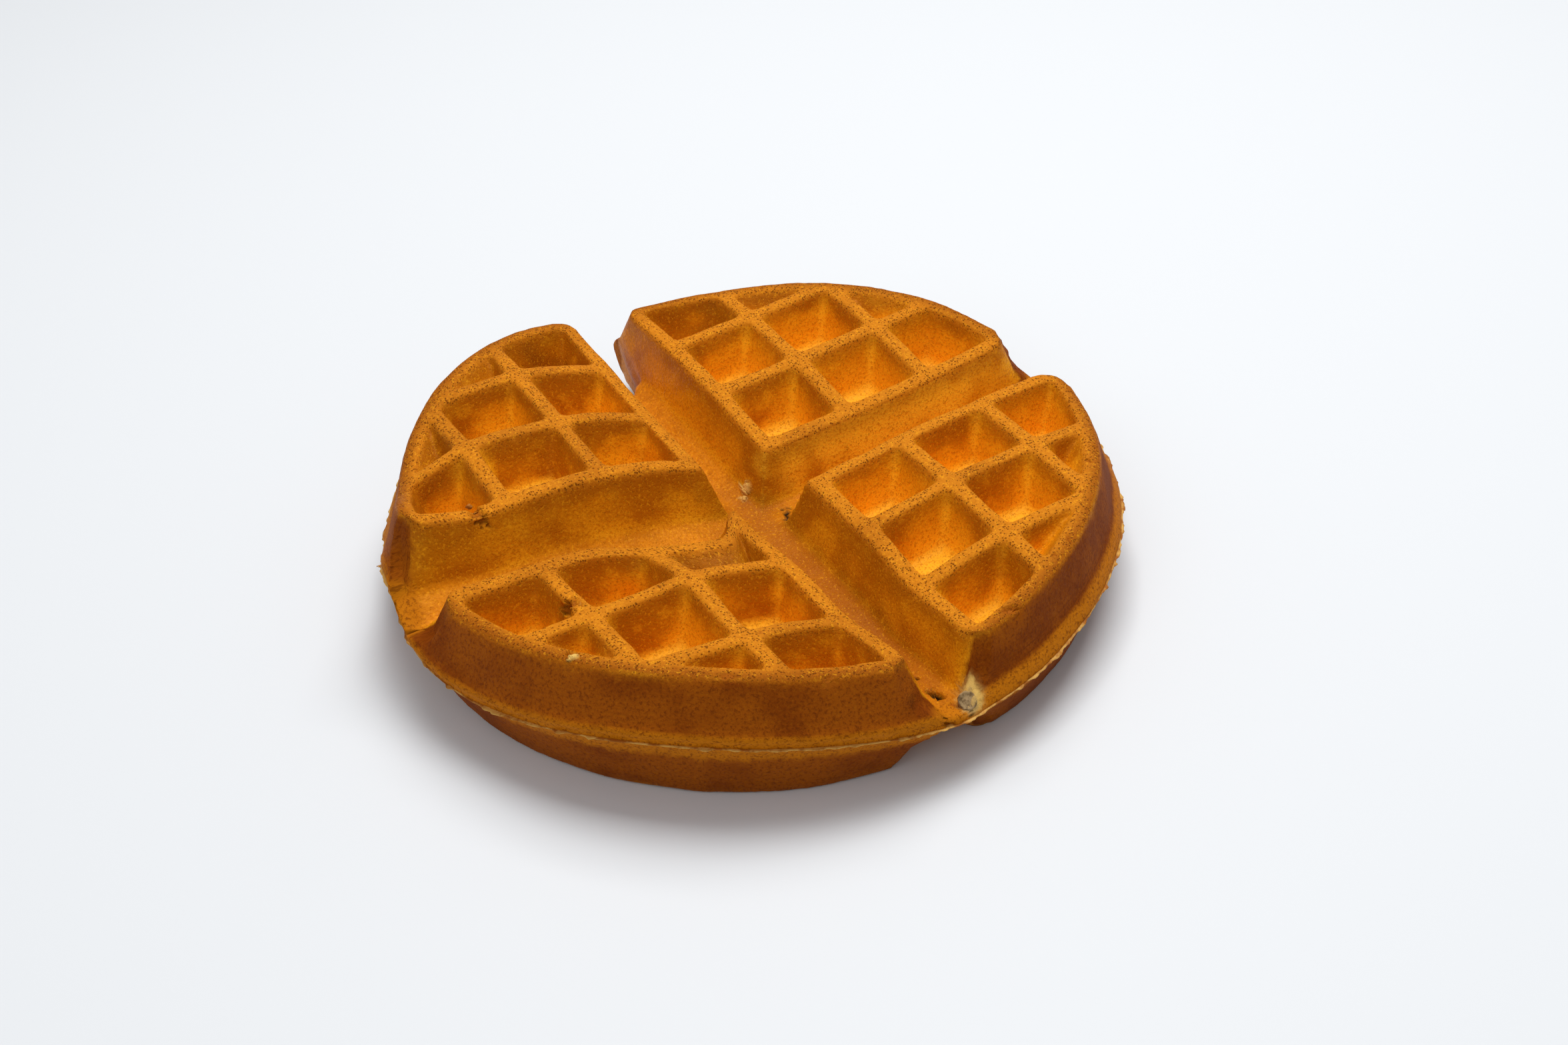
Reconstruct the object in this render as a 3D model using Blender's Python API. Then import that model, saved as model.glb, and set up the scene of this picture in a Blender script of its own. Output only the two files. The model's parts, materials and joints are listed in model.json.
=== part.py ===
"""A round thick waffle of four quarters, baked in one piece, as one closed solid.

Plan axes: the two channels of the cross run along X and Y, and each quarter holds a grid of pockets.
The mould shape is made flat, about its parting plane, and then bent the way the soft waffle has sagged.
"""

import bmesh
import bpy
from math import acos, asin, cos, exp, hypot, pi, radians, sin, tan
from mathutils import Vector

MM = 0.001

# Mould shape, in millimetres: heights count from the parting plane.
SEAM_RADIUS = 89.0          # the thin flange at the parting plane
HALF_HEIGHT = 15.0          # parting plane to the rib tops
FLANGE_TOP = 3.4            # where the flange meets the outer wall
WALL_FOOT_RADIUS = 85.4     # of the upper wall, where it meets the flange
LOWER_WALL_RADIUS = 87.0    # of the lower wall, just under the flange
RIM_RADIUS = 81.0           # outer edge of the flat rim top
FLASH_HALF_THICKNESS = 0.5
SHOULDER = 0.9              # height and width of the soft edge of every rib
WEB_HALF_THICKNESS = 2.0    # the sheet that the pockets end on
DRAFT = radians(17.5)       # slope of the pocket walls
RIBS = (10.0, 33.5, 57.4)   # channel centre to the middle of each rib
RIB_HALF_WIDTH = 1.5        # flat top of a rib
RIM_WIDTH = 4.2             # flat top of the rim
CORNER_CUT = 1.2            # rounding of the pocket corners
SMALL_POCKET_FLOOR = 1.2    # least half width that a pocket narrows to
SEGMENTS = 72               # round the outline
ARC_STEPS = 4               # along the round side of a rim pocket
BEYOND = 4.0                # how far cutters stand out of the body

# The web is missing at the -X end of the channel.
NOTCH_INNER_X = -66.0
NOTCH_INNER_HALF_WIDTH = 3.7
NOTCH_OUTER_HALF_WIDTH = 7.0

# How it has sagged: the middle of the cross lies low, and the quarters rise and arch.
CENTRE_SEAM_HEIGHT = 8.0    # underside to parting plane at the centre
SPAN = 60.0                 # distance at which the rises below are stated
SOFTNESS = 0.2              # rounding of the fold along each channel, as a share of SPAN
RISE_ALONG_X = 4.18
RISE_ALONG_Y = 4.86
TWIST = -1.88               # one pair of quarters higher than the other
TILT_ALONG_Y = 1.31         # more rise along Y on the +X side
DISH = -1.97                # less rise where both count
BLEND_WIDTH = 6.0           # half width over which one quarter's arch gives way to the next
ARCH_REACH = 1.4            # where an arch comes down again, as a share of SPAN
# Sign of X and of Y, arch along X, arch along Y, crown in the middle, and how far the quarter drew out along X and Y
QUARTER_ARCHES = (
    (1, 1, -0.9, 1.2, 3.3, 0.8, 3.6),
    (-1, 1, 2.1, -2.3, 2.1, -0.3, 0.7),
    (-1, -1, -2.6, 8.8, 3.8, -1.4, 0.2),
    (1, -1, -2.0, 1.4, 2.8, 1.1, 1.3),
)
MIDDLE = (0.75, 1.0)        # middle of the bent outline, which becomes the origin

# The wall beside the Y channel that has folded into its pocket, in the quarter at +X, -Y.
FOLD_PUSH = 8.5
FOLD_Y = -20.0
FOLD_SPAN = 7.0
FOLD_FROM_X = 3.0
FOLD_FULL_X = 8.0
FOLD_KEPT_X = 13.5
FOLD_END_X = 30.0

CRUST_COLOUR = (0.55, 0.24, 0.06, 1.0)
CRUST_ROUGHNESS = 0.7


def clear_scene():
    """Removes every object of the starting scene."""
    for found in list(bpy.data.objects):
        bpy.data.objects.remove(found, do_unlink=True)


def crust_material():
    """Matte golden-brown crust."""
    material = bpy.data.materials.new("crust")
    material.use_nodes = True
    shader = material.node_tree.nodes["Principled BSDF"]
    shader.inputs["Base Color"].default_value = CRUST_COLOUR
    shader.inputs["Roughness"].default_value = CRUST_ROUGHNESS
    shader.inputs["Metallic"].default_value = 0.0
    return material


def object_from(name, bm):
    """Links a new object that holds the faces of bm, with its normals pointing out."""
    bmesh.ops.recalc_face_normals(bm, faces=bm.faces)
    mesh = bpy.data.meshes.new(name)
    bm.to_mesh(mesh)
    bm.free()
    made = bpy.data.objects.new(name, mesh)
    bpy.context.scene.collection.objects.link(made)
    return made


def add_stack(bm, levels):
    """Skins a closed shape through loops of equal length: each level is (height, points)."""
    loops = [
        [bm.verts.new(Vector((x, y, height)) * MM) for x, y in points]
        for height, points in levels
    ]
    for low, high in zip(loops, loops[1:]):
        for i in range(len(low)):
            j = (i + 1) % len(low)
            bm.faces.new((low[i], low[j], high[j], high[i]))
    bm.faces.new(loops[0][::-1])
    bm.faces.new(loops[-1])


def outline_profile():
    """Radius and height of the outer wall, from the underside to the top."""
    lower = [
        (RIM_RADIUS, -HALF_HEIGHT),
        (RIM_RADIUS + SHOULDER, SHOULDER - HALF_HEIGHT),
        (LOWER_WALL_RADIUS, -FLASH_HALF_THICKNESS - 1.6),
        (SEAM_RADIUS - 1.0, -FLASH_HALF_THICKNESS - 0.3),
    ]
    upper = [
        (SEAM_RADIUS, FLASH_HALF_THICKNESS),
        (SEAM_RADIUS - 0.6, FLASH_HALF_THICKNESS + 0.6),
        (WALL_FOOT_RADIUS + 0.9, FLANGE_TOP - 0.5),
        (WALL_FOOT_RADIUS, FLANGE_TOP + 0.6),
        (RIM_RADIUS + SHOULDER, HALF_HEIGHT - SHOULDER),
        (RIM_RADIUS, HALF_HEIGHT),
    ]
    return lower + upper


def body():
    """The solid disc that everything is cut from."""
    bm = bmesh.new()
    levels = []
    for radius, height in outline_profile():
        turn = [2 * pi * k / SEGMENTS for k in range(SEGMENTS)]
        levels.append((height, [(radius * cos(a), radius * sin(a)) for a in turn]))
    add_stack(bm, levels)
    return object_from("waffle", bm)


def cut_corners(points, cut):
    """Replaces each sharp corner of a convex outline by a short chamfer."""
    made = []
    count = len(points)
    for i, here in enumerate(points):
        before, after = points[i - 1], points[(i + 1) % count]
        back = (before[0] - here[0], before[1] - here[1])
        ahead = (after[0] - here[0], after[1] - here[1])
        lengths = hypot(*back), hypot(*ahead)
        bend = acos(max(-1.0, min(1.0, (back[0] * ahead[0] + back[1] * ahead[1]) / (lengths[0] * lengths[1]))))
        if bend > radians(150):
            made.append(here)
            continue
        for way, length in zip((back, ahead), lengths):
            step = min(cut, 0.3 * length) / length
            made.append((here[0] + way[0] * step, here[1] + way[1] * step))
    return made


def pocket_outline(column, row, inset):
    """One pocket in the quarter where X and Y are positive, drawn in by inset from the ribs' flat tops.

    column and row count from the centre: 0 and 1 lie between two ribs, and 2 runs out to the rim.
    """
    edge = RIB_HALF_WIDTH + inset
    left = RIBS[column] + edge
    low = RIBS[row] + edge
    right = RIBS[min(column, 1) + 1] - edge
    high = RIBS[min(row, 1) + 1] - edge
    rim = RIM_RADIUS - RIM_WIDTH - inset
    if column < 2 and row < 2:
        points = [(left, low), (right, low), (right, high), (left, high)]
    else:
        start = asin(low / rim)
        end = asin(high / rim) if column == 2 and row == 0 else acos(left / rim)
        if row == 2:
            start = acos(right / rim) if column == 0 else start
        arc = [start + (end - start) * k / ARC_STEPS for k in range(ARC_STEPS + 1)]
        round_side = [(rim * cos(a), rim * sin(a)) for a in arc]
        if (column, row) == (2, 0):
            points = [(left, low)] + round_side + [(left, high)]
        elif (column, row) == (0, 2):
            points = [(left, low), (right, low)] + round_side
        else:
            points = [(left, low)] + round_side
    return cut_corners(points, CORNER_CUT)


def pocket_depths(column, row):
    """Insets and depths of a pocket's loops, from above the rib tops down to its floor."""
    depth = HALF_HEIGHT - WEB_HALF_THICKNESS
    inset = SHOULDER + (depth - SHOULDER) * tan(DRAFT)
    if column + row == 3:
        inset = SHOULDER + SMALL_POCKET_FLOOR
        depth = SHOULDER + SMALL_POCKET_FLOOR / tan(DRAFT)
    return ((-0.01, -BEYOND), (0.0, 0.0), (SHOULDER, SHOULDER), (inset, depth))


def pocket_cutter():
    """Every pocket of both faces, as separate closed shapes in one object."""
    bm = bmesh.new()
    cells = [(c, r) for c in range(3) for r in range(3) if c + r < 4]
    for column, row in cells:
        for side_x in (1, -1):
            for side_y in (1, -1):
                for face in (1, -1):
                    levels = []
                    for inset, depth in pocket_depths(column, row):
                        outline = pocket_outline(column, row, max(inset, 0.0))
                        flipped = [(side_x * x, side_y * y) for x, y in outline]
                        levels.append((face * (HALF_HEIGHT - depth), flipped))
                    add_stack(bm, levels)
    return object_from("pocket_cutter", bm)


def cross_outline(half_width, reach, corner):
    """The plan of the cross-shaped channel, with the corners at its middle cut off."""
    points = []
    for turn in range(4):
        c, s = round(cos(turn * pi / 2)), round(sin(turn * pi / 2))
        arm = [
            (reach, -half_width),
            (reach, half_width),
            (half_width + corner, half_width),
            (half_width, half_width + corner),
        ]
        points += [(x * c - y * s, x * s + y * c) for x, y in arm]
    return points


def channel_cutter():
    """The cross-shaped channel of both faces."""
    bm = bmesh.new()
    reach = SEAM_RADIUS + BEYOND
    top = RIBS[0] - RIB_HALF_WIDTH
    depth = HALF_HEIGHT - WEB_HALF_THICKNESS
    floor = top - SHOULDER - (depth - SHOULDER) * tan(DRAFT)
    for face in (1, -1):
        levels = [
            (face * (HALF_HEIGHT + BEYOND), cross_outline(top, reach, CORNER_CUT)),
            (face * HALF_HEIGHT, cross_outline(top, reach, CORNER_CUT)),
            (face * (HALF_HEIGHT - SHOULDER), cross_outline(top - SHOULDER, reach, CORNER_CUT)),
            (face * WEB_HALF_THICKNESS, cross_outline(floor, reach, CORNER_CUT)),
        ]
        add_stack(bm, levels)
    return object_from("channel_cutter", bm)


def notch_cutter():
    """The missing piece of web and flange at the -X end of the channel."""
    bm = bmesh.new()
    outer = -SEAM_RADIUS - BEYOND
    points = [
        (outer, -NOTCH_OUTER_HALF_WIDTH),
        (NOTCH_INNER_X, -NOTCH_INNER_HALF_WIDTH),
        (NOTCH_INNER_X, NOTCH_INNER_HALF_WIDTH),
        (outer, NOTCH_OUTER_HALF_WIDTH),
    ]
    add_stack(bm, [(-FLANGE_TOP - BEYOND, points), (FLANGE_TOP + BEYOND, points)])
    return object_from("notch_cutter", bm)


def cut(target, cutter):
    """Cuts one object from another for good, and removes the cutter."""
    modifier = target.modifiers.new("cut", "BOOLEAN")
    modifier.operation = "DIFFERENCE"
    modifier.solver = "EXACT"
    modifier.object = cutter
    bpy.context.view_layer.update()
    evaluated = target.evaluated_get(bpy.context.evaluated_depsgraph_get())
    mesh = bpy.data.meshes.new_from_object(evaluated)
    target.modifiers.clear()
    target.data = mesh
    bpy.data.objects.remove(cutter, do_unlink=True)


def slice_along_ribs(bm):
    """Adds edges along the middle of every rib and pocket, so that long faces can bend."""
    halfway = [(a + b) / 2 for a, b in zip(RIBS, RIBS[1:])]
    for place in [0.0, *RIBS, *halfway, (RIBS[-1] + RIM_RADIUS) / 2]:
        for sign in (1, -1):
            for normal in ((1, 0, 0), (0, 1, 0)):
                point = Vector(normal) * place * sign * MM
                everything = bm.verts[:] + bm.edges[:] + bm.faces[:]
                bmesh.ops.bisect_plane(bm, geom=everything, dist=1e-6, plane_co=point, plane_no=normal)


def slice_fold(bm):
    """Adds edges across the folded wall, so that it can bend round."""
    for y in (FOLD_Y + 1.3 * FOLD_SPAN, FOLD_Y + 0.6 * FOLD_SPAN, FOLD_Y, FOLD_Y - 0.6 * FOLD_SPAN):
        near = [
            f for f in bm.faces
            if FOLD_FROM_X * MM < f.calc_center_median().x < FOLD_END_X * MM
            and abs(f.calc_center_median().y - FOLD_Y * MM) < 2.4 * FOLD_SPAN * MM
            and f.calc_center_median().z > 0
        ]
        parts = list({e for f in near for e in f.edges}) + list({v for f in near for v in f.verts}) + near
        bmesh.ops.bisect_plane(bm, geom=parts, dist=1e-6, plane_co=Vector((0, y, 0)) * MM, plane_no=(0, 1, 0))


def smooth_step(low, high, value):
    """Rises smoothly from 0 at low to 1 at high."""
    share = max(0.0, min(1.0, (value - low) / (high - low)))
    return share * share * (3 - 2 * share)


def hump(reach):
    """An arch of height 1 that is 0 at the channel and again at ARCH_REACH."""
    return 4 * reach * max(0.0, ARCH_REACH - reach) / ARCH_REACH**2


def quarter_share(side_x, side_y, x, y):
    """How much a place belongs to one quarter: 1 inside it, and less near the channels."""
    along_x = smooth_step(-BLEND_WIDTH, BLEND_WIDTH, side_x * x)
    return along_x * smooth_step(-BLEND_WIDTH, BLEND_WIDTH, side_y * y)


def sag(x, y):
    """How far a point of the parting plane has moved along X and Y, and its height above the centre's."""
    u, v = x / SPAN, y / SPAN
    along_x = hypot(u, SOFTNESS) - SOFTNESS
    along_y = hypot(v, SOFTNESS) - SOFTNESS
    rise = RISE_ALONG_X * along_x + RISE_ALONG_Y * along_y + TWIST * u * v
    rise += TILT_ALONG_Y * u * along_y + DISH * along_x * along_y
    shift_x = shift_y = 0.0
    for side_x, side_y, arch_x, arch_y, crown, out_x, out_y in QUARTER_ARCHES:
        share = quarter_share(side_x, side_y, x, y)
        hump_x, hump_y = hump(abs(u)), hump(abs(v))
        rise += share * (arch_x * hump_x + arch_y * hump_y + crown * hump_x * hump_y)
        shift_x += share * side_x * out_x * max(-0.4, 1 - abs(v))
        shift_y += share * side_y * out_y * max(-0.4, 1 - abs(u))
    return shift_x, shift_y, rise


def fold(x, y, z):
    """How far the soft wall has moved along +X into its pocket."""
    if z <= WEB_HALF_THICKNESS or y >= -RIBS[0] + RIB_HALF_WIDTH:
        return 0.0
    across = smooth_step(FOLD_FROM_X, FOLD_FULL_X, x) * smooth_step(-FOLD_END_X, -FOLD_KEPT_X, -x)
    along = exp(-(((y - FOLD_Y) / FOLD_SPAN) ** 2))
    upward = smooth_step(WEB_HALF_THICKNESS, HALF_HEIGHT, z)
    return FOLD_PUSH * across * along * upward


def settle(bm):
    """Bends the flat mould shape: full sag from the parting plane up, none at the underside."""
    for vertex in bm.verts:
        x, y, z = vertex.co / MM
        shift_x, shift_y, rise = sag(x, y)
        seam = CENTRE_SEAM_HEIGHT + rise
        share = min(1.0, (z + HALF_HEIGHT) / HALF_HEIGHT)
        height = seam + z if z > 0 else seam * share
        x += shift_x * share + fold(x, y, z) - MIDDLE[0]
        y += shift_y * share - MIDDLE[1]
        vertex.co = Vector((x, y, height)) * MM


def waffle():
    """The whole waffle, with its origin under its centre on the surface that it lies on."""
    made = body()
    cut(made, pocket_cutter())
    cut(made, channel_cutter())
    cut(made, notch_cutter())
    bm = bmesh.new()
    bm.from_mesh(made.data)
    slice_along_ribs(bm)
    slice_fold(bm)
    bmesh.ops.triangulate(bm, faces=bm.faces)
    settle(bm)
    bm.to_mesh(made.data)
    bm.free()
    made.data.materials.clear()
    made.data.materials.append(crust_material())
    made.data.shade_smooth()
    made.data.set_sharp_from_angle(angle=radians(35))
    return made


clear_scene()
waffle()
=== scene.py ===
"""Looks of a round thick waffle of four quarters on a plain pale floor.

The waffle is modelled flat, the way its mould shapes it, and then bent the way the soft cake has sagged.
Mould coordinates are in millimetres: X and Y run along the two channels, and Z counts from the parting plane.
"""

import json
import logging
from dataclasses import dataclass, field
from enum import Enum
from math import cos, pi, radians, sin, tan

import bmesh
import bpy
import numpy as np
from mathutils import Matrix, Vector, noise

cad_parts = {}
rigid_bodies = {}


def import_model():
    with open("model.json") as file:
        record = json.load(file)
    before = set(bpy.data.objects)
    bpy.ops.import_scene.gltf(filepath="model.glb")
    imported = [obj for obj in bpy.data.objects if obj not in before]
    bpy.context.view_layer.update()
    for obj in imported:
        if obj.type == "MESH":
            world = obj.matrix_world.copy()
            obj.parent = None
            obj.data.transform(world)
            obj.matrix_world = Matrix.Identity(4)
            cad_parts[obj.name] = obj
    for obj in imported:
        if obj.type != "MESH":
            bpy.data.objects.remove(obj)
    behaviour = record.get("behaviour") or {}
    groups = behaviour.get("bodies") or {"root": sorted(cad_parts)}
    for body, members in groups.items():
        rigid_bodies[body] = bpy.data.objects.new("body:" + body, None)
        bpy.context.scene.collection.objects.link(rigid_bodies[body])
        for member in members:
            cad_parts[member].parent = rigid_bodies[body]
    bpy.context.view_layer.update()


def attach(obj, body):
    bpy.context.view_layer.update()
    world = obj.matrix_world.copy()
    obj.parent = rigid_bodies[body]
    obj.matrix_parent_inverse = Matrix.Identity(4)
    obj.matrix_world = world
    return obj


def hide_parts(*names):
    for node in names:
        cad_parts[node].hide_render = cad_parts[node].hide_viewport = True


MM = 0.001
NODE = "waffle"
BODY = "root"
GREY_LIGHT = (0.34, 0.22, 0.10, 1)
GREY_DARK = (0.14, 0.080, 0.030, 1)
LOG = logging.getLogger("waffle")


class Face(Enum):
    """Which side of the parting plane a cut is made in."""

    TOP = 1
    UNDER = -1


@dataclass(frozen=True)
class Mould:
    """Sizes of the baking mould, in millimetres."""

    seam_radius: float = 89.0
    half_height: float = 15.0
    flange_top: float = 3.4
    wall_foot_radius: float = 85.4
    lower_wall_radius: float = 87.0
    rim_radius: float = 81.6
    flash_half_thickness: float = 0.5
    web_half_thickness: float = 2.0
    draft: float = radians(17.5)
    ribs: tuple[float, float, float, float] = (10.0, 33.5, 57.4, 81.3)
    rib_half_width: float = 1.8
    rim_width: float = 2.6
    corner_radius: float = 1.2
    floor_radius: float = 1.3
    dish_floor: float = 7.0
    dish_slope: float = radians(38)

    @property
    def depth(self) -> float:
        """Depth of pockets and channels."""
        return self.half_height - self.web_half_thickness

    @property
    def channel_half(self) -> float:
        """Half width of the channel's mouth."""
        return self.ribs[0] - self.rib_half_width

    @property
    def pocket_rim(self) -> float:
        """Radius that the rim pockets reach at their mouth."""
        return self.rim_radius - self.rim_width

    def cell(self, index: int) -> tuple[float, float]:
        """Middle and half width of a pocket's mouth.

        Args:
            index: 0 for the pocket nearest the channel.

        Returns:
            Its distance from the channel's middle line, and its half width.
        """
        near, far = self.ribs[index], self.ribs[index + 1]
        return (near + far) / 2, (far - near) / 2 - self.rib_half_width


def smooth_step(low: float, high: float, value: np.ndarray) -> np.ndarray:
    """Rises smoothly from 0 to 1.

    Args:
        low: where the rise starts.
        high: where it ends.
        value: the places to look at.

    Returns:
        The share at each place.
    """
    share = np.clip((value - low) / (high - low), 0, 1)
    return share * share * (3 - 2 * share)


def bump(distance: np.ndarray, width: float) -> np.ndarray:
    """A bell curve, 1 at distance 0.

    Args:
        distance: the places to look at.
        width: where the bell has fallen to about a third.

    Returns:
        The height of the bell at each place.
    """
    return np.exp(-((distance / width) ** 2))


@dataclass(frozen=True)
class Mark:
    """A flaw or a soft place of the crust: place and half sizes in mould millimetres, turn in degrees."""

    x: float
    y: float
    z: float
    half_length: float
    half_width: float
    turn: float = 0.0
    sunk: float = 0.0
    ragged: float = 0.7
    soft: float = 0.2

    def distance(self, points: np.ndarray, reach: float = 4.0) -> np.ndarray:
        """How far points are from the middle of the mark, 1 at its edge.

        Args:
            points: mould coordinates, in millimetres.
            reach: how far above and below its place the mark goes.

        Returns:
            The distance of each point.
        """
        x, y, z = points.T
        along = (x - self.x) * cos(radians(self.turn)) + (y - self.y) * sin(radians(self.turn))
        across = (y - self.y) * cos(radians(self.turn)) - (x - self.x) * sin(radians(self.turn))
        shares = (along / self.half_length, across / self.half_width, (z - self.z) / reach)
        return np.linalg.norm(shares, axis=0)


@dataclass(frozen=True)
class Flaws:
    """What baking, bubbles and handling left on the crust, and places of painted light and painted shade."""

    holes: tuple[Mark, ...] = (
        Mark(78.5, -0.3, 2.0, 2.3, 0.95, 18.0, 1.6),
        Mark(71.0, 0.3, 2.0, 1.3, 0.42, 10.0, 0.6),
        Mark(1.0, 6.9, 2.4, 2.6, 0.45, -35.0, 0.7),
        Mark(3.0, 6.0, 2.4, 1.2, 0.4, 50.0, 0.6),
        Mark(-1.3, 8.3, 3.0, 1.1, 0.4, 65.0, 0.5),
    )
    pits: tuple[Mark, ...] = (
        Mark(78.7, 19.7, 14.6, 1.7, 1.0, 60.0, 1.0),
        Mark(68.0, 43.3, 14.8, 1.4, 0.42, -10.0, 0.5),
        Mark(70.6, 37.8, 15.0, 0.9, 0.4, 80.0, 0.4),
        Mark(46.7, 64.3, 14.8, 1.0, 0.5, 0.0, 0.4),
        Mark(55.8, 55.3, 14.8, 0.8, 0.4, 30.0, 0.3),
        Mark(26.4, -60.2, 14.6, 3.0, 1.9, 78.0, 1.5, 1.1),
        Mark(43.8, -66.2, 14.2, 1.7, 1.2, 65.0, 1.3),
        Mark(-10.6, -64.9, 14.6, 4.4, 1.3, 10.0, 1.3, 1.1),
        Mark(68.5, -44.3, 13.8, 1.5, 1.0, 55.0, 0.5),
        Mark(78.1, -26.8, 14.2, 0.8, 0.7, 70.0, 0.3),
        Mark(80.3, -8.6, 14.6, 0.8, 0.6, 0.0, 0.3),
        Mark(84.4, 1.2, 2.4, 1.6, 0.4, 40.0, 0.4),
        Mark(61.0, -52.0, 14.6, 0.6, 0.5, 0.0, 0.2),
        Mark(57.6, -30.2, 15.0, 0.5, 0.45, 0.0, 0.2),
    )
    shards: tuple[Mark, ...] = (
        Mark(27.8, -58.6, 13.8, 0.9, 0.35, 60.0),
        Mark(25.6, -61.4, 13.8, 0.8, 0.3, 100.0),
        Mark(45.4, -67.0, 13.6, 1.0, 0.8, 65.0, -0.7),
        Mark(-11.3, 4.3, 2.6, 1.4, 0.9, 20.0, -0.8),
        Mark(-9.4, 2.6, 2.6, 0.8, 0.6, 60.0, -0.6),
        Mark(-12.8, -65.4, 13.8, 1.2, 0.4, 25.0),
        Mark(79.4, -36.0, 8.5, 0.9, 0.7, 60.0),
        Mark(82.2, -26.6, 9.6, 0.7, 0.5, 60.0),
    )
    disc: Mark = Mark(86.3, 3.9, 2.6, 2.2, 2.2, ragged=0.15, soft=0.18)
    # Paler crumb on the channel wall beside the +Y arm, brightened further as painted light for light bounced
    # off the opposite channel wall.
    pale_and_lit_places: tuple[Mark, ...] = (
        Mark(-8.0, 42.0, 8.0, 36.0, 4.0, 90.0, ragged=0.5, soft=0.4),
    )
    # Darker places: browner crust round the middle and along the +X channel; the two at the rim on the -X
    # half and the one in the fold beside the Y channel are painted shade.
    brown_and_shaded_places: tuple[Mark, ...] = (
        Mark(-40.0, -76.0, 8.0, 26.0, 14.0, -28.0, ragged=0.6, soft=0.5),
        Mark(-76.0, 38.0, 8.0, 26.0, 12.0, -62.0, ragged=0.6, soft=0.5),
        Mark(0.0, 0.0, 2.0, 15.0, 10.0, 0.0, ragged=0.5, soft=0.5),
        Mark(44.0, 0.0, 2.0, 44.0, 5.5, 0.0, ragged=0.3, soft=0.4),
        Mark(-66.0, -20.0, 8.0, 9.0, 8.0, 0.0, ragged=0.6, soft=0.5),
        Mark(13.0, -25.0, 10.0, 12.0, 7.0, 90.0, ragged=0.3, soft=0.5),
    )
    halo: Mark = Mark(86.2, 4.7, 3.8, 3.4, 3.1, 20.0, ragged=0.25, soft=0.4)

    def groups(self) -> dict[str, tuple[Mark, ...]]:
        """The flaws by the name of the mask that colours them."""
        return {
            "hole": self.holes,
            "pit": self.pits,
            "shard": self.shards,
            "halo": (self.halo,),
            "disc": (self.disc,),
        }

    def all_marks(self) -> tuple[Mark, ...]:
        """Every flaw."""
        return sum(self.groups().values(), ())


@dataclass(frozen=True)
class Arch:
    """How one quarter has arched: rises in millimetres, and how far its corner has drawn back."""

    side_x: int
    side_y: int
    along_x: float
    along_y: float
    crown: float
    back_x: float
    back_y: float


@dataclass(frozen=True)
class Swell:
    """A place where the soft cake stands higher or lower than its quarter's arch, in millimetres."""

    x: float
    y: float
    rise: float
    width: float = 11.0


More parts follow.
